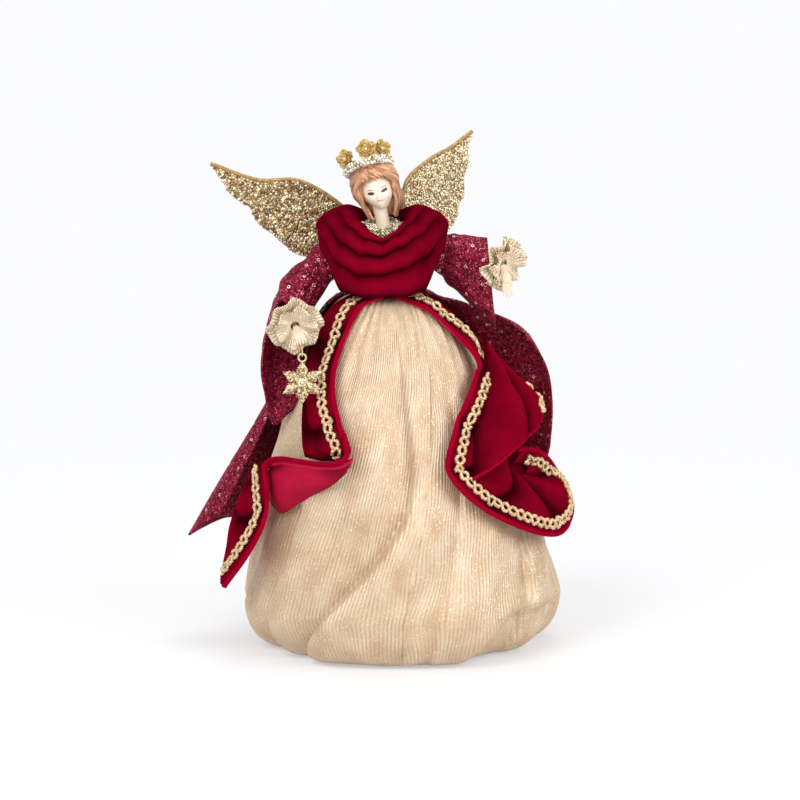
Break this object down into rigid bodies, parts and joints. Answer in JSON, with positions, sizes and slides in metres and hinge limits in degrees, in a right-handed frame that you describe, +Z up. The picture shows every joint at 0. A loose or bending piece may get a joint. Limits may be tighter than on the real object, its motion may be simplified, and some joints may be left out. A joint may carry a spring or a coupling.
{
  "type": "fairy tree topper",
  "caption": "Winged fairy doll tree topper in a draped velvet and sequin robe over a pleated bell skirt, with a hollow cone inside that slips over a tree's top shoot.",
  "frame": {"origin": "centre of the bounding box at its base, on the surface the topper stands on", "axes": "+Z up, the doll faces -Y, its right hand is at -X"},
  "size_m": [0.2254, 0.1986, 0.2959],
  "materials": {
    "gold_lame": "crinkle-pleated metallic lame",
    "red_velvet": "deep pile velvet",
    "sequin_fabric": "burgundy knit with small sequins",
    "gold_braid": "woven metallic chain braid",
    "gold_pleat": "pleated metallic ribbon",
    "bodice": "dark cloth over a padded body",
    "wadding": "loose polyester wadding",
    "doll_skin": "painted, satin",
    "hair_fibre": "wavy auburn fibre",
    "gold_glitter": "coarse gold glitter",
    "gold_wire": "gold-painted wire",
    "steel_wire": "bare wire",
    "card": "plain grey-brown board",
    "plug_wood": "plain turned softwood"
  },
  "bodies": {
    "figure": {"skirt": "gold_lame", "cowl": "red_velvet", "right_facing": "red_velvet", "right_flap": "red_velvet", "right_tail": "red_velvet", "left_facing": "red_velvet", "left_fold": "red_velvet", "robe_back": "sequin_fabric", "right_braid_1": "gold_braid", "right_braid_2": "gold_braid", "left_braid_1": "gold_braid", "left_braid_2": "gold_braid", "left_braid_3": "gold_braid", "torso": "bodice", "skirt_wadding": "wadding", "head": "doll_skin", "hair": "hair_fibre", "neck_trim": "gold_glitter", "crown_band": "gold_glitter", "crown_floret_1": "gold_glitter", "crown_floret_2": "gold_glitter", "crown_floret_3": "gold_glitter", "armature_rod": "steel_wire", "card_cone": "card", "base_ring": "card", "wing_plate": "card", "cone_plug": "plug_wood"},
    "right_arm": {"right_arm_wire": "steel_wire", "right_sleeve": "sequin_fabric", "right_cuff": "gold_pleat", "right_hand": "doll_skin", "snowflake_thread": "gold_braid"},
    "left_arm": {"left_arm_wire": "steel_wire", "left_sleeve": "sequin_fabric", "left_cuff": "gold_pleat", "left_hand": "doll_skin"},
    "right_wing": {"right_wing": "gold_glitter", "right_wing_spar": "gold_wire"},
    "left_wing": {"left_wing": "gold_glitter", "left_wing_spar": "gold_wire"},
    "snowflake": {"snowflake": "gold_glitter"}
  },
  "joints": [
    {"name": "right_arm_raise", "type": "hinge", "parent": "figure", "child": "right_arm", "pos_m": [-0.01666, -0.00541, 0.235], "axis": [0, 1, 0], "range_deg": [0, 25]},
    {"name": "left_arm_raise", "type": "hinge", "parent": "figure", "child": "left_arm", "pos_m": [0.02134, -0.00541, 0.235], "axis": [0, -1, 0], "range_deg": [0, 15]},
    {"name": "right_wing_fold", "type": "hinge", "parent": "figure", "child": "right_wing", "pos_m": [-0.00566, 0.00969, 0.24], "axis": [0, 0, -1], "range_deg": [-5, 35]},
    {"name": "left_wing_fold", "type": "hinge", "parent": "figure", "child": "left_wing", "pos_m": [0.01034, 0.00969, 0.24], "axis": [0, 0, 1], "range_deg": [-20, 15]},
    {"name": "snowflake_swing", "type": "hinge", "parent": "right_arm", "child": "snowflake", "pos_m": [-0.04446, -0.06441, 0.17825], "axis": [0, 1, 0], "range_deg": [-20, 20]}
  ]
}
